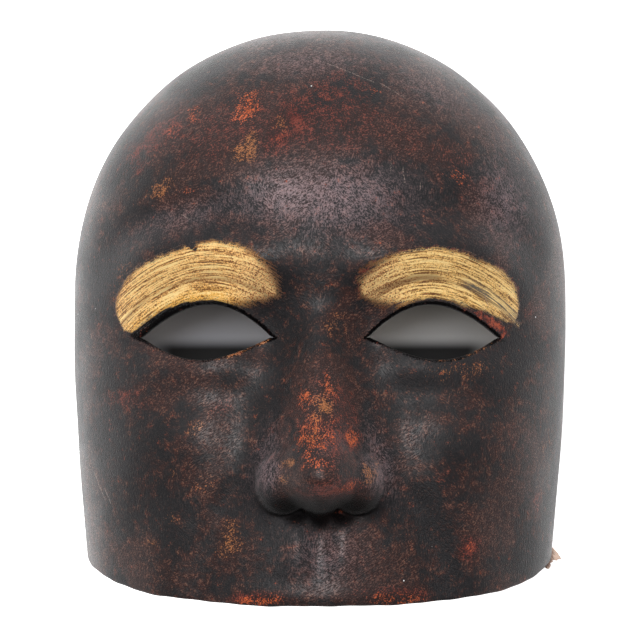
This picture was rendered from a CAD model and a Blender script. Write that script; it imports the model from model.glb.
import math

import bpy
import numpy as np
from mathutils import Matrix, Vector


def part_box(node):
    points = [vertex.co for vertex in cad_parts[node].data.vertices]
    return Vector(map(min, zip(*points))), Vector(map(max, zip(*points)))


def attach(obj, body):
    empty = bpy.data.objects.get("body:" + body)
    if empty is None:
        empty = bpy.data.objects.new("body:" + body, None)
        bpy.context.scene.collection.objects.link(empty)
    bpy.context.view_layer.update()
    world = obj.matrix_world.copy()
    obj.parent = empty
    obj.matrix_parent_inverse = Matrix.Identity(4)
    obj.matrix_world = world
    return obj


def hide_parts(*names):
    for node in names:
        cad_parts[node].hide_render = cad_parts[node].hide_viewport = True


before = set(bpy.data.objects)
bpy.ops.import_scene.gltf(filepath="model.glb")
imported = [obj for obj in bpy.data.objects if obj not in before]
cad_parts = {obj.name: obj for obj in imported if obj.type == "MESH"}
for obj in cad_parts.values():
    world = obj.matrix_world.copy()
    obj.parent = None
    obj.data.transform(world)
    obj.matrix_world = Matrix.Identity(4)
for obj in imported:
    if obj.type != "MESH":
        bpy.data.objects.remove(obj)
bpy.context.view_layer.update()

# The shell, in millimetres. Its own frame has x across, y up from the eyes' line, and z out of the face.
MM = 0.001
FACE_WIDTH = 168.0
WALL = 2.6
VAULT_DEPTH = 70.0
NOSE_RAISE = 27.0
UNIT = 1.5 * FACE_WIDTH / 3.5
BROW_LINE = UNIT / 4
NOSE_BASE = -3 * UNIT / 4
MOUTH_LINE = NOSE_BASE - UNIT / 3
CROWN = 1.5 * UNIT
HALF_WIDTH = FACE_WIDTH / 2
WIDEST_LINE = BROW_LINE
CORNER_HALF_WIDTH = 78.5
NARROWING_POWER = 1.8
DEEPER_BELOW = 0.02
LIP_EDGE = MOUTH_LINE - 4
CORNER_RISE = 19.0
CORNER_RISE_POWER = 2.3
SECTION_POWER = 2.35
OUTLINE_POWER = 2.05
TUCK = 2.6
TUCK_HEIGHT = 26.0
RELIEF_FOOT = 6.0
RELIEF_FULL = 34.0
EYE_WIDTH = FACE_WIDTH / 5
EYE_CENTRE = EYE_WIDTH + 1.9
OPENING_HALF = EYE_WIDTH * 1.2 / 2
OPENING_TOP = 10.0
OPENING_BOTTOM = 7.0

# Cells of the fine mesh, the radius of its rounded edges, the height of the foot that makes room for the
# rim's rounding, and how far from the eyes' line the cells are parted.
COLUMNS = 208
ROWS_BELOW = 126
ROWS_ABOVE = 90
COLUMN_SPREAD = 0.62
ROW_SPREAD = 0.62
ROW_CROWDING = 0.4
CROWDED_AT = 0.7
EDGE_ROUND = 0.75
ROUND_STEPS = 3
FOOT = 10.0
LID_REACH = 30.0
# A small flare of the rim, on the left near the lower corner: how far it stands out, how far up the face it
# is, its half length along the rim, and the heights between which it dies out.
RIM_FLARE = 0.7
RIM_FLARE_AT = -64.8
RIM_FLARE_HALF_LENGTH = 1.4
RIM_FLARE_GONE = 18.0
RIM_FLARE_FULL = 12.0
# Strips of paper pasted inside: how many, and how much each one thickens the wall.
PAPER_STRIPS = 90
STRIP_THICKNESS = 0.22

# The torn scrap of lining: the heights it spans along the cut edge, how much of it is held in the wall, and
# its length and thickness.
SCRAP_FROM = 3.0
SCRAP_TO = 33.0
SCRAP_ROOT = 1.8
SCRAP_LENGTH = 5.2
SCRAP_THICKNESS = 0.42

# The gilt bands, by turns in degrees about a point under each eye from the temple's side to the nose's. Each
# row gives a turn, and how far above the lid's edge the band begins and ends there.
ARCH_X = EYE_CENTRE + 1.5
ARCH_Y = -20.0
ARCH_RADIUS = 39.0
GILT_START = 127.0
GILT_END = 43.5
# A nick in the left band's upper edge: its turn and half width in degrees, and its depth.
NICK_TURN = 88.5
NICK_HALF_WIDTH = 0.7
NICK_DEPTH = 3.6
LEFT_BAND = [
    (43.5, 6, 7), (45, 4, 11), (48, 3.4, 14), (52, 3.3, 16.2), (57, 3.3, 18), (64, 3.2, 19),
    (72, 2.8, 18.8), (80, 2.1, 18.4), (88, 1.7, 19), (94, 1.5, 19.8), (104, 1.1, 19.6),
    (113, 2.2, 18.4), (119, 4.6, 16.6), (124, 7.5, 14.2), (127, 11, 11),
]
RIGHT_BAND = [
    (46.5, 8, 9), (50, 6.2, 13), (54, 5.6, 15.6), (58, 5, 17.4), (64, 4.2, 18.2), (70, 3.3, 18),
    (75, 2.6, 17.2), (83, 2.3, 17.8), (92, 2.1, 17.6), (100, 1.8, 17), (111, 1.6, 17.2),
    (118, 3.2, 16.8), (124, 6.5, 16), (127, 11, 11),
]

# Soft spots where the glaze is rubbed away: across, up, half width, half height, lean in degrees, strength.
RED_RUBS = [
    (-27, 66, 36, 17, 10, 0.4),
    (16, 66, 34, 20, 0, 0.22),
    (2, 70, 9, 9, 0, 0.12),
    (34, 60, 20, 10, -30, 0.1),
    (43, 49, 8, 14, -20, 0.2),
    (54, 45, 5, 7, 0, 0.22),
    (-8, 69, 2.2, 3, 0, 0.8),
    (-12.5, 62, 4, 3, 0, 0.5),
    (-54, 64, 10, 4, 35, 0.5),
    (-57.5, 55, 2.6, 2, 0, 0.6),
    (8, 83, 9, 6, -10, 0.2),
    (-62, -18, 8, 4, 10, 0.4),
    (-54, -22, 8, 6, 0, 0.25),
    (-30, -22, 6, 5, 0, 0.4),
    (-54, -42, 9, 7, 0, 0.25),
    (61, -32, 11, 13, 20, 0.3),
    (38, -43, 8, 6, 0, 0.35),
    (46, -64, 2.8, 3, 0, 0.8),
    (46, -64, 7, 7, 0, 0.3),
    (69, -51, 2, 5, 0, 0.55),
    (67, 9, 3, 4, 0, 0.4),
    (73, 0, 3, 12, 0, 0.35),
    (1, -26, 11, 19, 0, 0.55),
    (3, -27, 7, 12, 0, 0.2),
    (8, -45.5, 5.5, 2.4, 10, 0.9),
    (-2, -46, 5, 2, 0, 0.5),
    (10, -31, 2.4, 4, 10, 0.6),
    (-19, -79, 11, 2.4, 4, 0.8),
    (22, -78, 14, 3, -4, 0.7),
]
ORANGE_RUBS = [
    (-23.5, 71, 5, 5.4, 0, 0.72),
    (-23, 77.5, 6, 4, 0, 0.4),
    (-40, 72, 3.2, 4, 0, 0.6),
    (-48, 66, 5, 6, 0, 0.35),
    (-12.5, 62, 5, 3, 0, 0.4),
    (-41, 46, 5, 1.8, 0, 0.45),
    (17.5, 78, 3, 3, 0, 0.5),
    (43, 51, 6, 5, 0, 0.4),
    (46, -64, 2.4, 2.6, 0, 0.5),
    (1, -26, 8.5, 13, 0, 0.48),
    (-4.5, -18.5, 2.2, 3, 0, 0.5),
    (3, -14, 3, 4, 0, 0.3),
    (-3, -32, 4.4, 3.4, 0, 0.42),
    (-2, -39, 6, 3, 0, 0.3),
    (10, -30.5, 1.8, 3, 10, 0.7),
    (9, -45, 4.4, 1.6, 14, 0.6),
    (-17, -79.5, 9, 2.2, 4, 0.7),
    (22, -79, 12, 2.6, -4, 0.65),
    (-36, -45, 7, 4, 0, 0.3),
]
OCHRE_RUBS = [
    (-24, 57, 5, 4, 0, 0.8),
    (-21, 62, 2.5, 4, 0, 0.6),
    (-12, 67, 4, 4, 0, 0.55),
    (-23, 77.5, 5, 4, 0, 0.35),
    (-48.5, 49, 6, 3, 20, 0.6),
    (-51, 46, 4, 3, 40, 0.5),
    (-61, 25, 6, 5, 40, 0.4),
    (-64, 13, 4, 8, 0, 0.4),
    (5, 4, 6, 6, 0, 0.45),
    (0, -22, 6, 10, 0, 0.48),
    (1.5, -22, 2.4, 2.4, 0, 0.5),
    (-2, -31, 3, 2.4, 0, 0.35),
    (-9, -38, 3.6, 1.6, 12, 0.75),
    (-11, -43, 4, 2.4, 20, 0.5),
    (15, -41, 3.4, 5, -30, 0.7),
    (44, -10, 17, 5, 8, 0.42),
    (-38, -28, 3.4, 5, -20, 0.5),
    (-45, -41, 2, 2, 0, 0.5),
    (-36, -45, 7, 4, 0, 0.35),
    (-27, -59, 4, 7, 10, 0.5),
    (-29, -65, 7, 3.4, 20, 0.4),
    (-51, -63, 5, 2.4, 0, 0.4),
    (-46, -55, 4, 3, 0, 0.35),
    (72, -33, 5, 7, 0, 0.3),
]
# Where handling has left a pale bloom on the glaze, in the same terms.
BLOOMS = [
    (-15, -42, 4, 5, -30, 0.5),
    (17, -42, 4, 6, 30, 0.6),
    (6, 43, 20, 11, 0, 0.75),
    (-14, 44, 10, 8, 0, 0.45),
    (-42, 38, 17, 5, 14, 0.35),
    (2, -66, 10, 9, 0, 0.42),
    (-16, -36, 4, 10, -20, 0.4),
    (18, -36, 4, 10, 20, 0.4),
    (4, -31, 5, 5, 0, 0.55),
    (58, 44, 9, 13, 0, 0.6),
    (-3, 89, 18, 6, 0, 0.4),
    (36, 80, 13, 7, -25, 0.3),
]

# Where the glaze has pooled thick and nearly black, under the nose, in the same terms.
SHADES = [
    (2, -53, 13, 4.5, 0, 1.0),
    (-11, -52, 7, 4, 0, 0.7),
    (13, -52, 8, 4.5, 0, 0.6),
    (2, -57, 6, 3, 0, 0.5),
]
# Thin scratches: across, up, lean in degrees from upright, length.
SCRATCHES = [
    (10, 85, 65, 18), (23, 79, 58, 11), (-70, -46, 26, 11), (-67, -49, 24, 7), (22, 53, -2, 5),
    (26, 50, 3, 7), (31, 47, -3, 4), (-42, 38, 55, 5), (52, 12, 20, 6),
]
SCRATCH_HALF_WIDTH = 0.2
SCRATCH_TAPER = 1.5
DUST_SPACING = 15.0
DUST_RADIUS = 0.3

# The camera, in metres: what it looks at, how far from it and how far off upright it stands, and its lens.
AIM = Vector((0, -0.005, 0.035))
DISTANCE = 0.62
TILT = math.radians(3.5)
LENS = 107.6
SENSOR = 36

# The floor, in metres from its middle: where its glow begins and dies away, and the soft dark smudges on it,
# which show through the eye openings.
FLOOR_HALF_WIDTH = 20.0
GLOW_BEGINS = (0.072, 0.084)
GLOW_DIES = (0.125, 0.19)
GLOW_DIMS_ACROSS = (0.02, 0.1)
GLOW_STRENGTH = 1.45
SMUDGE_INNER_END = (0.01, 0.02)
SMUDGE_OUTER_END = (0.064, 0.05)
LOWER_SMUDGE_TOP = (-0.008, -0.0132)
LOWER_SMUDGE_FOOT = (-0.027, -0.018)
UPPER_SMUDGE_TOP = (0.024, 0.012)
UPPER_SMUDGE_FOOT = (-0.006, 0.006)
UPPER_SMUDGE_SHARE = 0.6
WHITE = (1, 1, 1, 1)
BLACK = (0, 0, 0, 1)
GLOW_DIM = (0.5, 0.5, 0.5, 1)
GLOW_FAR = (0.05, 0.05, 0.05, 1)
FLOOR_PALE = (0.93, 0.93, 0.93, 1)
FLOOR_COLD = (0.76, 0.79, 0.89, 1)
FLOOR_BRIGHT = (0.94, 0.96, 1, 1)
FLOOR_SMUDGE = (0.006, 0.006, 0.008, 1)

# The light all round: its even level, and what is added low down on all sides, at the sides and past the
# crown. It is dimmer past the chin.
ROUND_LEVEL = 0.4
LOW_LEVEL = 0.3
SIDE_LEVEL = 0.15
CROWN_LEVEL = 1.2
CHIN_DIMMING = 0.6
# One soft lamp over the crown: where it is, what it faces and how wide it is, in metres, and its watts.
LAMP_PLACE = Vector((-0.1, 0.26, 1.15))
LAMP_AIM = Vector((0, 0, 0.03))
LAMP_WIDTH = 0.6
LAMP_WATTS = 11.2


def fade(start, end, value):
    """0 before start and 1 after end, smooth between them."""
    t = np.clip((value - start) / (end - start), 0, 1)
    return t * t * (3 - 2 * t)


def blend_up(a, b, width):
    """The higher of two surfaces, rounded over where they meet."""
    share = np.clip(0.5 + 0.5 * (a - b) / width, 0, 1)
    return b + (a - b) * share + width * share * (1 - share)


def mound(x, y, across, up, wide, high, turn=0.0):
    """A soft round rise of height 1, turned by an angle."""
    dx, dy = x - across, y - up
    along = (dx * math.cos(turn) + dy * math.sin(turn)) / wide
    over = (dy * math.cos(turn) - dx * math.sin(turn)) / high
    return np.exp(-along * along - over * over)


def boss(x, y, across, up, wide, high, raised):
    """A full round boss, which falls steeply away outside its outline."""
    power = 2.1
    r = np.hypot((x - across) / wide, (y - up) / high)
    return raised * np.clip(1 - r ** power, 0, 1) ** (1 / power) - 3 * np.clip(r - 1, 0, 3)


# Soft forms of the face: across, up, half width, half height, raise, turn. Each one off the middle is paired.
FORMS = {
    "between the brows": (0, BROW_LINE + 7, 20, 15, 3.4, 0),
    "forehead": (28, 58, 26, 24, 1.8, 0),
    "temple": (72, 24, 16, 26, -2.4, 0),
    "eye socket": (EYE_CENTRE, 4, 25, 15, -7, 0),
    "root of the nose": (16, 2, 8.5, 14, -4.6, 0),
    "upper lid": (EYE_CENTRE, 5.5, 20, 10, 6.6, 0),
    "lower lid": (EYE_CENTRE, -8.5, 20, 6.5, 2.8, 0),
    "under the lower lid": (EYE_CENTRE, -19, 24, 7, -1.4, -0.12),
    "cheekbone": (47, -30, 23, 20, 4.6, 0.3),
    "beside the nose": (24, -28, 9, 20, -2.6, 0),
    "upper lip": (0, MOUTH_LINE + 8, 25, 14, 4, 0),
    "groove of the lip": (0, NOSE_BASE - 10, 4.2, 9, -1.4, 0),
    "ridge of the lip": (7, NOSE_BASE - 11, 3.4, 9, 0.8, 0),
    "nostril": (7, NOSE_BASE + 2.6, 4.6, 4, -3.6, 0),
}


def nose_raise(x, y):
    """A ridge, a round tip, two wings and the wall between the nostrils, rounded into one another."""
    t = np.clip((15 - y) / 57, 0, 1)
    half_width = 6.5 + 6 * t ** 1.7
    ridge = (1.5 + (NOSE_RAISE - 3) * t ** 1.1) * np.exp(-0.72 * (np.abs(x) / half_width) ** 2.3)
    bridge = ridge * fade(22, 2, y) * fade(NOSE_BASE, NOSE_BASE + 11, y)
    septum = 9.5 * np.exp(-((x / 4.6) ** 2)) * fade(NOSE_BASE - 5, NOSE_BASE + 4, y) * fade(-36, -48, y)
    tip = boss(x, y, across=0, up=NOSE_BASE + 13, wide=12, high=12.5, raised=NOSE_RAISE)
    wing = boss(np.abs(x), y, across=11.0, up=NOSE_BASE + 9.8, wide=8.8, high=9.8, raised=13.5)
    raised = blend_up(blend_up(bridge, tip, 8), wing, 10)
    raised = blend_up(raised, septum, 3.5)
    return blend_up(raised, 0, 3) - 0.75


def brow_raise(ax, y):
    arch = 5.5 * (fade(6, 40, ax) - fade(44, 84, ax))
    over = y - (BROW_LINE + 3.5 + arch - 0.0022 * (ax - 20) * np.abs(ax - 20))
    roll = 3.9 * np.exp(-((over / 9) ** 2)) * fade(2, 22, ax) * fade(80, 50, ax)
    groove = 1.5 * np.exp(-(((over - 14.5) / 5.5) ** 2)) * fade(6, 30, ax) * fade(76, 50, ax)
    return roll - groove


def cheek_fold(ax, y):
    fold_at = 24 + 15 * (1 - np.exp(-np.maximum(-42 - y, 0) / 22))
    fold = 1.7 * np.exp(-(((ax - fold_at) / 6.5) ** 2)) * fade(-34, -52, y)
    fullness = 1.5 * np.exp(-(((ax - fold_at - 13) / 10) ** 2)) * fade(-38, -60, y)
    return fullness - fold


def lip_roll(ax, y):
    over = y - (MOUTH_LINE - 1.5 + 0.003 * ax * ax)
    return 1.8 * np.exp(-((over / 4.5) ** 2)) * fade(36, 6, ax)


def relief(x, y):
    ax = np.abs(x)
    height = nose_raise(x, y) + brow_raise(ax, y) + cheek_fold(ax, y) + lip_roll(ax, y)
    for across, up, wide, high, raised, turn in FORMS.values():
        height = height + raised * mound(x, y, across, up, wide, high, turn)
        if across > 0:
            height = height + raised * mound(-x, y, across, up, wide, high, turn)
    return height


def lid_height(t, upper):
    t = np.clip(t, 0, 1)
    if upper:
        return OPENING_TOP * np.sin(np.pi * t ** 0.92) ** 0.9
    return -OPENING_BOTTOM * np.sin(np.pi * t ** 1.1) ** 0.95


def spread(value, share):
    """Places between -1 and 1, moved towards the middle."""
    return value * (share + (1 - share) * value * value)


def crowd(share):
    """Places between 0 and 1, crowded together where the nose is."""
    turn = math.pi - 2 * math.pi * CROWDED_AT
    return share + ROW_CROWDING * (np.sin(2 * np.pi * share + turn) - math.sin(turn)) / (2 * math.pi)


def edge_waver(column):
    """The hand-cut edge stands back from its true line by up to half a millimetre."""
    waver = np.sin(19 * column + 1.1) + 0.7 * np.sin(41 * column + 4.0) + 0.5 * np.sin(83 * column + 2.2)
    return 0.3 + 0.12 * waver


def half_width_at(below):
    """The half width at a share of the way down from the widest line to the cut edge."""
    return HALF_WIDTH + (CORNER_HALF_WIDTH - HALF_WIDTH) * below ** NARROWING_POWER


def depth_at(below):
    return VAULT_DEPTH * (1 + DEEPER_BELOW * below)


def vault_grid():
    """Points of the plain vault in rows from the cut edge up, and the height of the cut edge under each."""
    u = np.linspace(-1, 1, COLUMNS + 1)
    v = np.concatenate([np.linspace(-1, 0, ROWS_BELOW + 1), np.linspace(0, 1, ROWS_ABOVE + 1)[1:]])
    u, v = np.meshgrid(u, v)
    column = spread(u, COLUMN_SPREAD)
    above = spread(np.maximum(v, 0), ROW_SPREAD)
    below = crowd(np.maximum(-v, 0))
    across = column * np.sqrt(1 - above ** 2 / 2)
    up = above * np.sqrt(1 - column ** 2 / 2)
    r = np.hypot(across, up)
    safe = np.maximum(r, 1e-9)
    to_x = np.where(r > 1e-9, across / safe, 1)
    to_y = np.where(r > 1e-9, up / safe, 0)
    stretch = (np.abs(to_x) ** OUTLINE_POWER + np.abs(to_y) ** OUTLINE_POWER) ** (-1 / OUTLINE_POWER)
    angle = np.minimum(r, 1) * np.pi / 2
    sine, cosine = np.sin(angle), np.maximum(np.cos(angle), 0)
    reach = (sine ** SECTION_POWER + cosine ** SECTION_POWER) ** (-1 / SECTION_POWER)
    out = stretch * reach * sine
    edge = LIP_EDGE + CORNER_RISE * np.abs(column) ** CORNER_RISE_POWER + edge_waver(column)
    x = half_width_at(below) * to_x * out
    y = WIDEST_LINE + (CROWN - WIDEST_LINE) * to_y * out + (edge + EDGE_ROUND - WIDEST_LINE) * below
    z = depth_at(below) * reach * cosine
    return x, y, z, edge


def vault_height(x, y, edge):
    """The plain vault's height at places well inside its rim."""
    below = np.clip((WIDEST_LINE - y) / (WIDEST_LINE - edge), 0, 1)
    above = np.maximum(y - WIDEST_LINE, 0) / (CROWN - WIDEST_LINE)
    aside = np.abs(x) / half_width_at(below)
    out = (aside ** OUTLINE_POWER + above ** OUTLINE_POWER) ** (1 / OUTLINE_POWER)
    rise = (1 - np.minimum(out, 1) ** SECTION_POWER) ** (1 / SECTION_POWER)
    return depth_at(below) * rise


def outer_skin():
    """Points and faces of the outside, with the row through the eyes parted into upper and lower lids."""
    x, y, z, edge = vault_grid()
    rows, columns = x.shape
    eye_row = int(np.argmin(np.abs(y[:ROWS_BELOW, columns // 2])))
    corner_room = 1.6 * EDGE_ROUND
    inner_corner = EYE_CENTRE - OPENING_HALF - corner_room
    outer_corner = EYE_CENTRE + OPENING_HALF + corner_room
    along = (np.abs(x[eye_row]) - inner_corner) / (outer_corner - inner_corner)
    opened = (along > 0) & (along < 1)
    upper = np.where(opened, lid_height(along, True) * (1 + EDGE_ROUND / OPENING_TOP), 0)
    lower = np.where(opened, lid_height(along, False) * (1 + EDGE_ROUND / OPENING_BOTTOM), 0)
    eye_line = y[eye_row]
    drop = (y - eye_line) / LID_REACH
    parted = y + np.where(drop > 0, upper, lower) * (1 - fade(0, 1, np.abs(drop)))
    parted[eye_row] = eye_line + lower
    z = np.where(np.abs(parted - y) > 1e-9, vault_height(x, parted, edge), z)
    lid_y = eye_line + upper
    lid = np.stack([x[eye_row], lid_y, vault_height(x[eye_row], lid_y, edge[eye_row])], -1)
    grid = np.stack([x, parted, z], -1).reshape(-1, 3)
    number = np.arange(rows * columns).reshape(rows, columns)
    number_above = number[eye_row].copy()
    number_above[opened] = rows * columns + np.arange(opened.sum())
    points = np.concatenate([grid, lid[opened]])
    low, high = number[:-1].copy(), number[1:]
    low[eye_row] = number_above
    faces = np.stack([low[:, :-1], low[:, 1:], high[:, 1:], high[:, :-1]], -1).reshape(-1, 4)
    border = np.concatenate([number[0, :-1], number[:-1, -1], number[-1, :0:-1], number[:0:-1, 0]])
    loops = {"border": border}
    for side, name in ((-1, "left eye"), (1, "right eye")):
        span = np.flatnonzero(opened & (np.sign(x[eye_row]) == side))
        ends = (number[eye_row, span[0] - 1], number[eye_row, span[-1] + 1])
        loops[name] = np.array([ends[0], *number_above[span], ends[1], *number[eye_row, span[::-1]]])
    return points, faces, loops


def add_relief(points):
    """The face's forms, the turned-in foot of the wall, and room under the foot for the rim's rounding."""
    x, y, z = points.T
    z = z + relief(x, y) * fade(RELIEF_FOOT, RELIEF_FULL, z)
    tuck = TUCK * np.clip(1 - z / TUCK_HEIGHT, 0, 1) ** 2
    out_x, out_y = x, np.maximum(y - WIDEST_LINE, 0)
    length = np.hypot(out_x, out_y) + 1e-9
    z = np.where(z < FOOT, EDGE_ROUND + z * (1 - EDGE_ROUND / FOOT), z)
    return np.stack([x - tuck * out_x / length, y - tuck * out_y / length, z], -1)


def edges_of(faces):
    pairs = np.concatenate([faces[:, [i, (i + 1) % 4]] for i in range(4)])
    return np.unique(np.sort(pairs, axis=1), axis=0)


def averaged(values, edges, passes):
    """Values at the points, each averaged again and again with its neighbours."""
    count = np.bincount(edges.ravel(), minlength=len(values))[:, None] + 1
    for _ in range(passes):
        total = values.copy()
        for axis in range(values.shape[1]):
            total[:, axis] += np.bincount(edges[:, 0], values[edges[:, 1], axis], len(values))
            total[:, axis] += np.bincount(edges[:, 1], values[edges[:, 0], axis], len(values))
        values = total / count
    return values


def normalised(vectors):
    return vectors / np.maximum(np.linalg.norm(vectors, axis=-1, keepdims=True), 1e-12)


def vertex_normals(points, faces):
    corner = points[faces]
    turn = np.cross(corner[:, 2] - corner[:, 0], corner[:, 3] - corner[:, 1])
    normals = np.zeros_like(points)
    for i in range(4):
        for axis in range(3):
            normals[:, axis] += np.bincount(faces[:, i], turn[:, axis], len(points))
    return normalised(normals)


def hand_unevenness(points, seed, depth, shortest, longest):
    """A gentle unevenness between 0 and depth, as of a shell pressed by hand into its mould."""
    rng = np.random.default_rng(seed)
    waves = 28
    total = np.zeros(len(points))
    for _ in range(waves):
        heading = normalised(rng.normal(size=3))
        length = rng.uniform(shortest, longest)
        total += np.sin(points @ heading * 2 * np.pi / length + rng.uniform(0, 2 * np.pi))
    return depth * np.clip(0.5 + 0.22 * total / math.sqrt(waves / 2), 0, 1)


def nearest(points, targets):
    """How far each point is from the nearest of the targets."""
    distance = np.full(len(points), 1e9)
    for target in targets:
        distance = np.minimum(distance, np.linalg.norm(points - target, axis=1))
    return distance


def torn_strips(points, seed):
    """The strips of paper pasted inside: how high they stack at each point, and the top one's tone."""
    rng = np.random.default_rng(seed)
    height = np.zeros(len(points))
    paper_tone = np.full(len(points), 0.5)
    torn = np.zeros(len(points))
    for _ in range(PAPER_STRIPS):
        x = points[:, 0] - rng.uniform(-88, 88)
        y = points[:, 1] - rng.uniform(-88, 110)
        turn = rng.uniform(0, np.pi)
        along = x * math.cos(turn) + y * math.sin(turn)
        over = y * math.cos(turn) - x * math.sin(turn)
        wave = 1.3 * np.sin(along / rng.uniform(2.5, 5) + rng.uniform(0, 6))
        wave = wave + 0.6 * np.sin(along / rng.uniform(1, 1.8) + rng.uniform(0, 6))
        past_side = np.abs(over + wave) - rng.uniform(7, 13)
        past_end = np.abs(along + wave) - rng.uniform(20, 38)
        beyond = np.maximum(past_side, past_end)
        covered = fade(0.7, -0.7, beyond)
        paper_tone = paper_tone * (1 - covered) + rng.uniform(0, 1) * covered
        torn = torn * (1 - covered) + fade(-2.6, -0.4, beyond) * covered
        height = height * (1 - 0.45 * covered) + covered
    return height, paper_tone, torn


def gilding(points):
    """The gilt band over each eye: millimetres along it and above the lid, and how far inside it a point is.
    Also the black border under it, and the red rim that is worn bare beside the right one."""
    right = points[:, 0] > 0
    x, y = np.abs(points[:, 0]) - ARCH_X, points[:, 1] - ARCH_Y
    turn = np.degrees(np.arctan2(y, x))
    t = np.linspace(0, 1, 80)
    lid_x = EYE_CENTRE + OPENING_HALF * (2 * t - 1) - ARCH_X
    lid_y = lid_height(t, True) - ARCH_Y
    lid_turn = np.degrees(np.arctan2(lid_y, lid_x))
    above = np.hypot(x, y) - np.interp(turn, lid_turn[::-1], np.hypot(lid_x, lid_y)[::-1])
    left_turn, left_low, left_high = np.array(LEFT_BAND).T
    right_turn, right_low, right_high = np.array(RIGHT_BAND).T
    low = np.where(right, np.interp(turn, right_turn, right_low), np.interp(turn, left_turn, left_low))
    high = np.where(right, np.interp(turn, right_turn, right_high), np.interp(turn, left_turn, left_high))
    along = np.radians(GILT_START - turn) * ARCH_RADIUS
    beyond = np.maximum(-along, 0) + np.maximum(GILT_END - turn, 0)
    past_nick = turn - NICK_TURN + (above - 17) * 0.8
    nick = NICK_DEPTH * np.exp(-((past_nick / NICK_HALF_WIDTH) ** 2)) * fade(15.2, 17.4, above)
    inside_band = np.minimum(above - low, high - above) - beyond - np.where(right, 0, nick)
    under_band = fade(low + 0.5, low - 0.3, above) * fade(-3, -0.5, above) * fade(-1.4, 0.4, points[:, 1])
    left_border = under_band * fade(119, 104, turn) * fade(41.5, 45.5, turn)
    right_border = np.minimum(under_band, fade(1.9, 1.1, above)) * fade(124, 116, turn)
    bared = fade(0.9, 1.7, above) * fade(0.7, -0.6, above - np.minimum(low, 4.2))
    bared = bared * fade(82, 60, turn) * fade(GILT_END, GILT_END + 2.5, turn)
    return {
        "gilt": np.clip(inside_band, -8, 9),
        "gilt_along": along,
        "gilt_above": above,
        "border": np.where(right, right_border, left_border),
        "bared": bared * right,
    }


def rubbed(points, spots):
    """How far the glaze is rubbed at each point, as a sum of soft spots."""
    amount = np.zeros(len(points))
    for across, up, wide, high, lean, strength in spots:
        spot = mound(points[:, 0], points[:, 1], across, up, wide, high, math.radians(lean))
        amount = np.maximum(amount, 0) + strength * spot
    return np.minimum(amount, 1)


def lid_wear(points, from_eye):
    """A worn line along parts of the lower lids."""
    x, y = points[:, 0], points[:, 1]
    ax = np.abs(x)
    inner_part = fade(EYE_CENTRE + 2, EYE_CENTRE - 8, ax) * (x < 0)
    outer_part = fade(EYE_CENTRE - 8, EYE_CENTRE + 2, ax) * (x > 0)
    return np.exp(-((from_eye / 0.6) ** 2)) * fade(1, -2, y) * np.maximum(inner_part, outer_part * 0.6)


def build_shell():
    """Both skins of the shell, with the fields that steer its finish."""
    points, faces, loops = outer_skin()
    rim = points[:, 2] < 1e-6
    outer = add_relief(points)
    edges = edges_of(faces)
    normals = vertex_normals(outer, faces)
    uneven = hand_unevenness(outer, seed=4, depth=0.5, shortest=22, longest=70)
    outer = outer - normals * uneven[:, None]
    outer[rim, 2] = EDGE_ROUND
    flare = RIM_FLARE * np.exp(-(((outer[:, 1] - RIM_FLARE_AT) / RIM_FLARE_HALF_LENGTH) ** 2))
    flare = flare * fade(RIM_FLARE_GONE, RIM_FLARE_FULL, outer[:, 2])
    outer[:, 0] -= flare * (outer[:, 0] < 0)
    flat = outer * [1, 1, 0]
    from_eye = nearest(flat, flat[np.concatenate([loops["left eye"], loops["right eye"]])])
    from_border = nearest(outer, outer[loops["border"]])
    directions = normalised(averaged(vertex_normals(outer, faces), edges, passes=14))
    upright = fade(12, 2.5, from_eye)[:, None]
    directions = normalised(directions * (1 - upright) + np.array([0, 0, 1]) * upright)
    directions[rim, 2] = 0
    directions = normalised(directions)
    lean = np.clip(np.einsum("ij,ij->i", directions, normals), 0.6, 1)
    strips, paper_tone, torn = torn_strips(outer, seed=11)
    settled = fade(2, 8, from_border) * fade(2, 8, from_eye)
    wall = WALL / lean - STRIP_THICKNESS * np.minimum(strips, 2.2) * settled
    inner = outer - directions * wall[:, None]
    hollow = np.einsum("ij,ij->i", averaged(outer, edges, passes=24) - outer, normals)
    fields = {
        "from_eye": from_eye,
        "from_border": from_border,
        "hollow": hollow * fade(1, 6, from_border),
        "red": rubbed(outer, RED_RUBS),
        "orange": rubbed(outer, ORANGE_RUBS),
        "ochre": rubbed(outer, OCHRE_RUBS),
        "bloom": rubbed(outer, BLOOMS),
        "shade": rubbed(outer, SHADES),
        "lid_wear": lid_wear(outer, from_eye),
        "paper_tone": paper_tone,
        "paper_torn": torn,
        **gilding(outer),
    }
    return outer, inner, faces, loops, rim, fields


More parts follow.
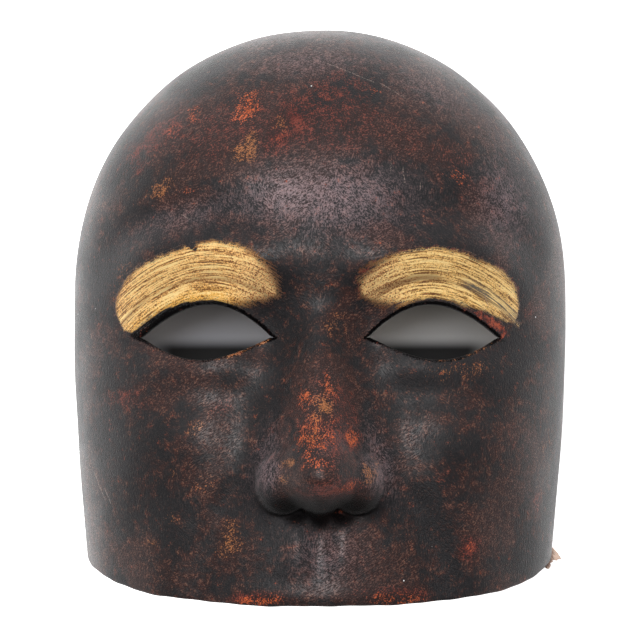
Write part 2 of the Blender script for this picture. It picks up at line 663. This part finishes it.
def close_edges(outer, inner, faces, loops, rim):
    """Joins both skins by rounded edges. Gives points, faces, each point's twin in the outer skin, how far
    round an edge it is, and whether it is on the inside."""
    count = len(outer)
    points = [outer, inner]
    twin = [np.arange(count), np.arange(count)]
    into_edge = [np.zeros(count), np.zeros(count)]
    inside = [np.zeros(count), np.ones(count)]
    strips = [faces, faces[:, ::-1] + count]
    total = 2 * count
    for name, loop in loops.items():
        start, end = outer[loop], inner[loop]
        through = normalised(end - start)
        if name == "border":
            beyond = beyond_border(outer, loop, rim)
            round_by = np.full(len(loop), EDGE_ROUND)
        else:
            beyond, round_by = beyond_lids(start)
        ids = [loop]
        for within, ring_from, towards in ((0.0, start, through), (1.0, end, -through)):
            steps = range(1, ROUND_STEPS + 1)
            for step in steps if within == 0 else reversed(steps):
                angle = 0.5 * math.pi * step / ROUND_STEPS
                reach = beyond * math.sin(angle) + towards * (1 - math.cos(angle))
                points.append(ring_from + reach * round_by[:, None])
                twin.append(loop)
                into_edge.append(np.full(len(loop), step / ROUND_STEPS))
                inside.append(np.full(len(loop), within))
                ids.append(total + np.arange(len(loop)))
                total += len(loop)
        ids.append(loop + count)
        for near, far in zip(ids[:-1], ids[1:]):
            strips.append(np.stack([np.roll(near, -1), near, far, np.roll(far, -1)], -1))
    joined = (points, strips, twin, into_edge, inside)
    return [np.concatenate(part) for part in joined]


def beyond_border(outer, loop, rim):
    """The directions out past the border: on from the skin at the cut edge, and down at the rim."""
    row_length = COLUMNS + 1
    on_lip = loop < row_length
    inward = outer[np.minimum(loop + row_length, len(outer) - 1)]
    beyond = np.where(on_lip[:, None], normalised(outer[loop] - inward), 0)
    return normalised(beyond + np.where(rim[loop][:, None], [0, 0, -1.0], 0))


def beyond_lids(start):
    """The directions into an eye opening from its edge, and how far its edge may be rounded."""
    tangent = np.roll(start, -1, 0) - np.roll(start, 1, 0)
    beyond = normalised(np.stack([tangent[:, 1], -tangent[:, 0], 0 * tangent[:, 0]], -1))
    mirrored = np.concatenate([[0], np.arange(len(start) - 1, 0, -1)])
    gap = np.linalg.norm(start[:, :2] - start[mirrored][:, :2], axis=1)
    return beyond, np.clip(0.45 * gap, 0.02, EDGE_ROUND)


def mesh_object(name, points, faces, fields=None):
    """An object of these millimetre points, with a named value at each point for its finish."""
    mesh = bpy.data.meshes.new(name)
    mesh.from_pydata((points * MM).tolist(), [], faces.tolist())
    mesh.update()
    mesh.shade_smooth()
    for field, values in (fields or {}).items():
        mesh.attributes.new(field, "FLOAT", "POINT").data.foreach_set("value", values.astype(np.float32))
    return link(bpy.data.objects.new(name, mesh))


class Signal:
    """A node's output. Sums and products of it add the Math nodes they need."""

    def __init__(self, finish, socket):
        self.finish = finish
        self.socket = socket

    def maths(self, operation, *terms):
        return self.finish.node("Math", {"operation": operation}, dict(enumerate(terms)))

    def __add__(self, other):
        return self.maths("ADD", self, other)

    def __sub__(self, other):
        return self.maths("SUBTRACT", self, other)

    def __rsub__(self, other):
        return self.maths("SUBTRACT", other, self)

    def __mul__(self, other):
        return self.maths("MULTIPLY", self, other)

    __radd__ = __add__
    __rmul__ = __mul__


class Finish:
    """A material, or the light all round, whose nodes all come from one method."""

    def __init__(self, holder, shader="Principled BSDF"):
        holder.use_nodes = True
        self.holder = holder
        self.tree = holder.node_tree
        self.shader = self.tree.nodes[shader]

    def node(self, kind, settings=None, sockets=None, out=0):
        made = self.tree.nodes.new("ShaderNode" + kind)
        for setting, value in (settings or {}).items():
            setattr(made, setting, value)
        self.feed(made, sockets or {})
        return Signal(self, made.outputs[out])

    def feed(self, made, sockets):
        for socket, value in sockets.items():
            if isinstance(value, Signal):
                self.tree.links.new(value.socket, made.inputs[socket])
            else:
                made.inputs[socket].default_value = value

    def field(self, name):
        return self.node("Attribute", {"attribute_name": name}, out="Fac")

    def place(self):
        """The place on the mask, in millimetres."""
        object_place = self.node("TexCoord", out="Object")
        return self.node("VectorMath", {"operation": "SCALE"}, {0: object_place, "Scale": 1 / MM})

    def noise(self, place, size, detail=2.0, rough=0.5):
        sockets = {"Vector": place, "Scale": 1 / size, "Detail": detail, "Roughness": rough}
        return self.node("TexNoise", None, sockets)

    def strokes(self, place, width, length, lean, start=0.0):
        """Short brushed strokes: a noise drawn out along one lean, in degrees from upright."""
        turned = self.node("Mapping", {"vector_type": "TEXTURE"}, {
            "Vector": place,
            "Location": (start, start, start),
            "Rotation": (0, 0, math.radians(lean)),
            "Scale": (width, length, width),
        })
        return self.noise(turned, 1.0, 2.0, 0.6)

    def between(self, start, end, value):
        """0 before start and 1 after end, smooth between them."""
        sockets = {"Value": value, "From Min": start, "From Max": end}
        return self.node("MapRange", {"interpolation_type": "SMOOTHSTEP"}, sockets)

    def most(self, first, second):
        return self.node("Math", {"operation": "MAXIMUM"}, {0: first, 1: second})

    def absolute(self, value):
        return self.node("Math", {"operation": "ABSOLUTE"}, {0: value})

    def mix(self, share, first, second):
        sockets = {"Factor": share, 6: first, 7: second}
        return self.node("Mix", {"data_type": "RGBA"}, sockets, out=2)

    def blend(self, share, first, second):
        return self.node("Mix", None, {0: share, 2: first, 3: second})


def tone(red, green, blue):
    """A colour given on the screen's own scale of 0 to 255, as linear light."""
    def light(level):
        level = level / 255
        return level / 12.92 if level <= 0.04045 else ((level + 0.055) / 1.055) ** 2.4
    return (light(red), light(green), light(blue), 1)


GLAZE_COLD = tone(20, 18, 21)
GLAZE_WARM = tone(42, 21, 18)
GLAZE_RUST = tone(88, 48, 38)
GLAZE_SPECK = tone(122, 92, 72)
BLOOM_SPECK = tone(156, 132, 136)
RED_DARK = tone(76, 20, 14)
RED_BRIGHT = tone(120, 53, 41)
ORANGE = tone(198, 92, 44)
OCHRE = tone(160, 101, 58)
GOLD_PALE = tone(255, 222, 152)
GOLD_MIDDLE = tone(244, 184, 108)
GOLD_DEEP = tone(244, 184, 84)
GOLD_OLIVE = tone(236, 194, 116)
GOLD_ROSE = tone(226, 158, 110)
GOLD_BROWN = tone(82, 38, 18)
GOLD_SMUDGE = tone(96, 98, 92)
BLACK_EDGE = tone(8, 6, 7)
PAPER_LIGHT = tone(156, 146, 132)
PAPER_DARK = tone(104, 95, 84)
TORN_FIBRE = tone(192, 182, 166)
SCRAP_LIGHT = tone(214, 184, 164)
SCRAP_DARK = tone(84, 52, 34)
SCRATCH = tone(170, 150, 140)
DUST = tone(235, 235, 235)


class Coat:
    """The noises of the rubbed glaze, shared by its colours and its relief."""

    def __init__(self, f):
        place = f.place()
        self.finish = f
        self.place = place
        self.cloud = f.noise(place, 24, 3)
        self.mottle = f.noise(place, 5.5, 4, 0.6)
        self.patch = f.noise(place, 9, 1)
        self.blotch = f.noise(place, 2.4, 3, 0.6)
        upright = f.strokes(place, 0.36, 1.6, -6)
        leaning = f.strokes(place, 0.36, 1.2, 48, 7)
        crossing = f.strokes(place, 0.36, 1.2, -58, 19)
        hair = f.blend(f.between(0.5, 0.56, self.patch), upright, leaning)
        self.hair = f.blend(f.between(0.5, 0.56, self.cloud), hair, crossing)
        self.grain = f.noise(place, 0.46, 2, 0.7)


def rub(coat, amount, start, end):
    """How bare the glaze is rubbed: an amount broken up by the mottling, the strokes and the grain."""
    f = coat.finish
    noise = (coat.mottle - 0.5) * 1.3 + (coat.blotch - 0.5) * 1.5
    noise = noise + (coat.hair - 0.5) * 1.8 + (coat.grain - 0.5) * 2.8
    return f.between(start, end, amount + noise * (f.between(0, 0.5, amount) * 0.65 + 0.35))


def glaze_colour(coat):
    """The dark glaze with the undercoat showing through where it is rubbed."""
    f = coat.finish
    red, orange, ochre = f.field("red"), f.field("orange"), f.field("ochre")
    clouded = coat.cloud * 0.45 + coat.mottle * 0.35 + coat.blotch * 0.2
    thin = f.between(0.46, 0.58, clouded + red * 0.16 + ochre * 0.08)
    colour = f.mix(thin * (coat.grain * 0.8 + 0.5), GLAZE_COLD, GLAZE_WARM)
    fine = coat.hair * 0.38 + coat.grain * 0.38 + coat.blotch * 0.24
    colour = f.mix(f.between(0.49, 0.6, fine) * (thin * 0.75 + 0.1), colour, GLAZE_RUST)
    colour = f.mix(f.between(0.54, 0.66, fine) * (thin * 0.6 + 0.2), colour, GLAZE_SPECK)
    bloom = f.field("bloom")
    pale = f.between(0.465, 0.6, fine + bloom * 0.05) * (bloom * 0.75)
    colour = f.mix(pale, colour, BLOOM_SPECK)
    undercoat = f.mix(f.between(0.42, 0.58, coat.mottle * 0.6 + coat.grain * 0.4), RED_DARK, RED_BRIGHT)
    colour = f.mix(rub(coat, red, 0.5, 1.0) * 0.9, colour, undercoat)
    colour = f.mix(rub(coat, orange, 0.6, 1.05), colour, ORANGE)
    colour = f.mix(rub(coat, ochre, 0.58, 1.05) * 0.9, colour, OCHRE)
    settled = f.between(0.3, 1.6, f.field("hollow"))
    pooled = f.between(0.3, 0.8, f.field("shade") + (coat.blotch - 0.5) * 1.2 + (coat.hair - 0.5) * 0.8)
    return f.mix(f.most(settled * 0.6, pooled * 0.9), colour, BLACK_EDGE)


class Gilding:
    """The noises of the brushed gold, drawn out along each band."""

    def __init__(self, coat):
        f = coat.finish
        self.coat = coat
        self.along, self.above = f.field("gilt_along"), f.field("gilt_above")
        self.side = f.between(-2, 2, f.node("SeparateXYZ", None, {0: coat.place}))
        bristles = {0: self.above * 1.8, 1: self.along * 0.07, 2: self.side * 9}
        self.streak = f.noise(f.node("CombineXYZ", None, bristles), 1.0, 4, 0.8)
        brush = {0: self.above * 0.4, 1: self.along * 0.04, 2: self.side * 5}
        self.broad = f.noise(f.node("CombineXYZ", None, brush), 1.0, 2)
        self.stipple = f.noise(coat.place, 0.5, 3, 0.75)
        self.inner_end = f.between(20, 4, self.along)

    def share(self):
        """Where gold lies: thick over most of the band, and stippled towards its inner end and its edges."""
        f = self.coat.finish
        inside_band = f.field("gilt")
        ragged = (self.streak - 0.5) * 7 + (self.stipple - 0.5) * 5 + (self.coat.blotch - 0.5) * 2
        edge = inside_band + ragged * (self.inner_end * 1.3 + 1)
        body = f.between(-0.5, 0.5, edge)
        solid = f.between(0, 4, inside_band) * 0.5 - self.inner_end * 0.46
        stippled = f.between(0.3, 0.5, self.stipple * 0.65 + self.streak * 0.35 + solid * 0.3)
        return body * stippled

    def colour(self):
        f = self.coat.finish
        near_eye = f.between(8, 2, self.above)
        deep = f.mix(near_eye * (1 - self.side * 0.5), GOLD_MIDDLE, GOLD_DEEP)
        deep = f.mix(self.side * 0.5, deep, GOLD_OLIVE)
        deep = f.mix(self.inner_end * 0.6, deep, GOLD_ROSE)
        smooth = 1 - near_eye * (1 - self.side) * 0.45
        lean = (self.streak - 0.5) * (1.6 - self.inner_end * 0.8) * smooth
        lean = lean + (self.stipple - 0.5) * (self.inner_end * 0.8 + 0.7)
        colour = f.mix(f.between(0.0, -0.09, lean), deep, GOLD_PALE)
        groove = f.between(2.4, 0, f.absolute(self.above - 9.2 + (self.broad - 0.5) * 6))
        groove = groove * f.between(0.4, 0.62, self.broad) * (self.side * 0.25 + 0.45)
        colour = f.mix(groove, colour, GOLD_BROWN)
        colour = f.mix(f.between(0.035, 0.1, lean) * 0.9, colour, GOLD_BROWN)
        smudge = f.between(2.6, 0.4, f.absolute(self.above - 9.5)) * f.between(30, 36, self.along)
        return f.mix(smudge * f.between(0.4, 0.6, self.streak) * self.side * 0.8, colour, GOLD_SMUDGE)

    def outline(self):
        """The red ground that shows as a thin line past the right band's upper edge."""
        f = self.coat.finish
        past = f.field("gilt") + (self.coat.grain - 0.5) * 3 + (self.coat.blotch - 0.5) * 5
        line = f.between(-0.9, -0.3, past) * f.between(0.4, -0.1, past)
        broken = f.between(0.46, 0.6, self.coat.mottle * 0.6 + self.coat.grain * 0.4)
        return line * broken * f.between(8, 12, self.above) * (self.side * 0.6 + 0.2)


def worn_edges(coat, gold, colour):
    """The black borders of the openings, the worn lines on the lower lids, and the bared rim of the right
    opening. Gives the colour and how black it is."""
    f = coat.finish
    from_eye = f.field("from_eye")
    grainy = (coat.grain - 0.5) * 1.5 + (coat.mottle - 0.5) * 1.0
    lower = f.between(-1, -4, gold.above)
    line = f.between(0.7, 0.2, from_eye + lower * 0.5 + grainy)
    cut = f.between(0.05, 0.35, f.field("into_edge") - lower * 0.3) * f.between(6, 3, from_eye)
    border = f.between(0.4, 0.6, f.field("border") + (gold.stipple - 0.5) * 1.6 + (coat.blotch - 0.5) * 0.8)
    black = f.most(f.most(line, cut), border)
    colour = f.mix(black, colour, BLACK_EDGE)
    bared = f.field("bared") + (gold.stipple - 0.5) * 2.6 + (coat.blotch - 0.5) * 2.6
    bright = f.between(0.46, 0.66, coat.grain * 0.35 + coat.blotch * 0.35 + bared * 0.2)
    bared = f.between(0.5, 0.95, bared)
    colour = f.mix(bared, colour, f.mix(bright, RED_DARK, f.mix(bright * 0.35, RED_BRIGHT, ORANGE)))
    wear = f.field("lid_wear") + (coat.grain - 0.5) * 2.6 + (coat.blotch - 0.5) * 2.4
    wear = f.between(0.85, 1.2, wear)
    colour = f.mix(wear, colour, f.mix(f.between(0.42, 0.56, coat.grain), RED_BRIGHT, OCHRE))
    return colour, black * (1 - bared) * (1 - wear)


def scratched(coat, colour, shift):
    """A few thin pale scratches and specks of dust. The shift is from the face's own frame to the model's."""
    f = coat.finish
    waver = (coat.mottle - 0.5) * 1.2
    scratch = 0.0
    for across, up, lean, length in SCRATCHES:
        turned = f.node("Mapping", {"vector_type": "TEXTURE"}, {
            "Vector": coat.place,
            "Location": (across + shift[0], up + shift[1], 0),
            "Rotation": (0, 0, math.radians(lean)),
        })
        beside = f.absolute(f.node("SeparateXYZ", None, {0: turned}) + waver)
        on = f.absolute(f.node("SeparateXYZ", None, {0: turned}, out=1))
        thin = f.between(SCRATCH_HALF_WIDTH, 0.3 * SCRATCH_HALF_WIDTH, beside)
        scratch = scratch + thin * f.between(length / 2, length / 2 - SCRATCH_TAPER, on)
    colour = f.mix(scratch * f.between(0.4, 0.6, coat.grain) * 0.5, colour, SCRATCH)
    dust = f.node("TexVoronoi", None, {"Vector": coat.place, "Scale": 1 / DUST_SPACING}, out="Distance")
    speck = f.between(DUST_RADIUS / DUST_SPACING, 0.6 * DUST_RADIUS / DUST_SPACING, dust)
    return f.mix(speck, colour, DUST)


def rubbed_glaze(shift):
    """The outside: dark glaze over a red ground, rubbed through, with the gilt bands brushed on."""
    f = Finish(bpy.data.materials.new("rubbed dark glaze and gilding"))
    coat = Coat(f)
    colour = glaze_colour(coat)
    gold = Gilding(coat)
    share = gold.share()
    colour = f.mix(gold.outline(), colour, RED_BRIGHT)
    colour = f.mix(share, colour, gold.colour())
    colour, black = worn_edges(coat, gold, colour)
    colour = scratched(coat, colour, shift)
    rough = f.blend(share, coat.hair * 0.24 + coat.mottle * 0.12 + 0.3, 0.4)
    heights = f.blend(share, coat.hair * 0.6 + coat.grain * 0.4, gold.streak * 1.2 + gold.stipple * 0.5)
    bump = f.node("Bump", None, {"Height": heights, "Distance": 0.0004, "Strength": 1.0})
    brushed = f.between(0.4, 0.62, coat.hair * 0.7 + coat.grain * 0.3)
    lustre = brushed * (f.between(0.4, 0.6, coat.cloud) * 0.35 + 0.12) * (1 - share) * (1 - black)
    matt = 1 - f.field("shade") * 0.9
    f.feed(f.shader, {
        "Base Color": colour,
        "Metallic": f.most(share * 0.25, f.most(black * 0.97, f.field("shade") * 0.8)),
        "Sheen Weight": 0.12,
        "Sheen Roughness": 0.35,
        "Specular IOR Level": 0.26,
        "Coat Weight": lustre * matt,
        "Coat Roughness": 0.34,
        "Roughness": rough,
        "Normal": bump,
    })
    return f.holder


def torn_paper():
    """The inside: pasted strips of brown paper, with the glaze lapped raggedly over the border."""
    f = Finish(bpy.data.materials.new("torn paper strips"))
    coat = Coat(f)
    strip_tone, torn = f.field("paper_tone"), f.field("paper_torn")
    paper = f.mix(f.between(0.1, 0.9, strip_tone + (coat.mottle - 0.5) * 0.5), PAPER_DARK, PAPER_LIGHT)
    fibres = f.strokes(coat.place, 0.2, 2.6, 24)
    paper = f.mix(f.between(0.55, 0.7, fibres) * 0.35, paper, TORN_FIBRE)
    paper = f.mix(torn * f.between(0.35, 0.6, coat.grain) * 0.7, paper, TORN_FIBRE)
    ragged = (coat.mottle - 0.5) * 9 + (coat.hair - 0.5) * 5
    lapped = f.between(0.8, -0.8, f.field("from_border") - 3.5 + ragged)
    near_eye = f.between(0.8, -0.8, f.field("from_eye") - 2.5 + ragged)
    dark = f.most(lapped, near_eye)
    colour = f.mix(dark, paper, f.mix(coat.mottle, GLAZE_COLD, GLAZE_WARM))
    height = coat.grain * 0.5 + fibres * 0.7 + strip_tone * 0.6
    bump = f.node("Bump", None, {"Height": height, "Distance": 0.00012, "Strength": 0.9})
    f.feed(f.shader, {"Base Color": colour, "Roughness": f.blend(dark, 0.86, 0.55), "Normal": bump})
    return f.holder


def scrap_paper():
    """Bare brown paper, torn at its edge."""
    f = Finish(bpy.data.materials.new("torn brown paper"))
    place = f.place()
    mottle = f.noise(place, 1.6, 4, 0.65)
    fibres = f.strokes(place, 0.16, 1.8, 35)
    pale = f.between(0.6, 0.95, f.field("outward") * 0.7 + mottle * 0.6 + fibres * 0.3)
    colour = f.mix(pale, SCRAP_DARK, SCRAP_LIGHT)
    bump = f.node("Bump", None, {"Height": mottle + fibres, "Distance": 0.00015, "Strength": 0.8})
    f.feed(f.shader, {"Base Color": colour, "Roughness": f.blend(fibres, 0.75, 0.95), "Normal": bump})
    return f.holder


def make_scrap(outer, inner, shift):
    """A torn scrap of the lining that sticks out past the cut edge, near its right-hand end."""
    row = COLUMNS + 1
    high = outer[:row, 2]
    held = np.flatnonzero((outer[:row, 0] > 0) & (high > SCRAP_FROM) & (high < SCRAP_TO))
    v = np.linspace(-1, 1, 61)
    pick = np.interp(v, [-1, 1], [0, len(held) - 1])

    def spaced(values):
        return np.stack([np.interp(pick, np.arange(len(held)), column) for column in values.T], -1)[:, None]

    start = spaced(inner[held] * 0.45 + outer[held] * 0.55)
    onward = spaced(normalised(outer[held] - outer[held + row]))
    outward = spaced(normalised(outer[held] - inner[held]))
    torn = 0.62 + 0.36 * np.exp(-(((v - 0.35) / 0.42) ** 2)) + 0.1 * np.exp(-(((v + 0.7) / 0.2) ** 2))
    torn = (torn - 0.3 * v ** 8 + 0.025 * np.sin(23 * v + 1) + 0.02 * np.sin(51 * v))[:, None, None]
    u = np.linspace(0, 1, 15)[None, :, None]
    reach = u * SCRAP_LENGTH * torn - SCRAP_ROOT
    past = np.maximum(reach, 0)
    curl = past ** 2 * 0.1 + past * (0.85 + 0.3 * v + 0.12 * np.sin(5 * v))[:, None, None]
    sheet = start + onward * reach + outward * curl + shift
    sides = [(sheet + outward * by).reshape(-1, 3) for by in (SCRAP_THICKNESS / 2, -SCRAP_THICKNESS / 2)]
    count = len(sides[0])
    number = np.arange(count).reshape(sheet.shape[:2])
    faces = np.stack([number[:-1, :-1], number[1:, :-1], number[1:, 1:], number[:-1, 1:]], -1).reshape(-1, 4)
    loop = np.concatenate([number[0, :-1], number[:-1, -1], number[-1, :0:-1], number[:0:-1, 0]])
    walls = np.stack([loop, np.roll(loop, -1), np.roll(loop, -1) + count, loop + count], -1)
    faces = np.concatenate([faces[:, ::-1], faces + count, walls[:, ::-1]])
    fields = {"outward": np.tile((past / (SCRAP_LENGTH - SCRAP_ROOT)).ravel(), 2)}
    scrap = mesh_object("paper_scrap", np.concatenate(sides), faces, fields)
    scrap.data.materials.append(scrap_paper())
    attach(scrap, "root")


def link(thing):
    bpy.context.scene.collection.objects.link(thing)
    return thing


def make_mask():
    outer, inner, faces, loops, rim, fields = build_shell()
    points, faces, twin, into_edge, inside = close_edges(outer, inner, faces, loops, rim)
    fields = {name: values[twin] for name, values in fields.items()}
    fields["into_edge"] = into_edge
    low, high = (np.array(corner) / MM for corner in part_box("mask_shell"))
    shift = (low + high) / 2 - (points.min(0) + points.max(0)) / 2
    points += [shift[0], shift[1], 0]
    mask = mesh_object("mask", points, faces, fields)
    mask.data.materials.append(rubbed_glaze(shift))
    mask.data.materials.append(torn_paper())
    mask.data.polygons.foreach_set("material_index", (inside[faces].min(1) > 0.5).astype(np.int32))
    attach(mask, "root")
    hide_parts("mask_shell")
    make_scrap(outer, inner, shift * [1, 1, 0])


def pale_floor():
    """A pale sheet that glows all round the mask, and has soft dark smudges under the eye openings."""
    f = Finish(bpy.data.materials.new("pale floor"))
    place = f.node("TexCoord", out="Object")
    away = f.node("VectorMath", {"operation": "LENGTH"}, {0: place}, out="Value")
    glow = f.between(*GLOW_BEGINS, away)
    across, up = (f.node("SeparateXYZ", None, {0: place}, out=i) for i in (0, 1))
    aside = f.absolute(across)
    eye_wide = f.between(*SMUDGE_INNER_END, aside) * f.between(*SMUDGE_OUTER_END, aside)
    lower = f.between(*LOWER_SMUDGE_TOP, up) * f.between(*LOWER_SMUDGE_FOOT, up)
    upper = f.between(*UPPER_SMUDGE_FOOT, up) * f.between(*UPPER_SMUDGE_TOP, up) * UPPER_SMUDGE_SHARE
    bare = f.mix(f.between(-0.04, 0.04, across), FLOOR_COLD, FLOOR_BRIGHT)
    beneath = f.mix(f.most(lower, upper) * eye_wide, bare, FLOOR_SMUDGE)
    outside = f.mix(f.between(*GLOW_DIMS_ACROSS, across), WHITE, GLOW_DIM)
    outside = f.mix(f.between(*GLOW_DIES, away), outside, GLOW_FAR)
    f.feed(f.shader, {
        "Base Color": f.mix(glow, beneath, FLOOR_PALE),
        "Roughness": 0.7,
        "Emission Color": f.mix(glow, BLACK, outside),
        "Emission Strength": GLOW_STRENGTH,
    })
    return f.holder


def make_floor():
    mesh = bpy.data.meshes.new("floor")
    far = FLOOR_HALF_WIDTH
    mesh.from_pydata([(-far, -far, 0), (far, -far, 0), (far, far, 0), (-far, far, 0)], [], [(0, 1, 2, 3)])
    mesh.materials.append(pale_floor())
    link(bpy.data.objects.new("floor", mesh))


def make_camera():
    camera = link(bpy.data.objects.new("camera", bpy.data.cameras.new("camera")))
    camera.data.lens = LENS
    camera.data.sensor_width = SENSOR
    back = Vector((0, -math.sin(TILT), math.cos(TILT)))
    camera.location = AIM + back * DISTANCE
    camera.rotation_euler = (-back).to_track_quat("-Z", "Y").to_euler()
    bpy.context.scene.camera = camera


def make_studio():
    """A dim dome, brighter near the ground at the sides and beyond the crown, and one soft lamp."""
    world = bpy.data.worlds.new("studio")
    bpy.context.scene.world = world
    f = Finish(world, "Background")
    heading = f.node("TexCoord", out="Generated")
    across, up, height = (f.node("SeparateXYZ", None, {0: heading}, out=i) for i in range(3))
    low = f.between(0.45, 0.0, height)
    sides = across * across * (0.85 - across * 0.38)
    crown = f.between(-0.2, 0.9, up)
    chin = f.between(-0.1, -0.8, up) * f.between(0.05, 0.25, height)
    level = low * (sides * SIDE_LEVEL + crown * CROWN_LEVEL + LOW_LEVEL) + ROUND_LEVEL
    f.feed(f.shader, {"Color": WHITE, "Strength": level * (1 - chin * CHIN_DIMMING)})
    light = bpy.data.lights.new("softbox", "AREA")
    light.energy = LAMP_WATTS
    light.size = LAMP_WIDTH
    lamp = link(bpy.data.objects.new("softbox", light))
    lamp.location = LAMP_PLACE
    lamp.rotation_euler = (LAMP_AIM - LAMP_PLACE).to_track_quat("-Z", "Y").to_euler()
    bpy.context.scene.view_settings.view_transform = "Standard"


make_camera()
make_mask()
make_floor()
make_studio()
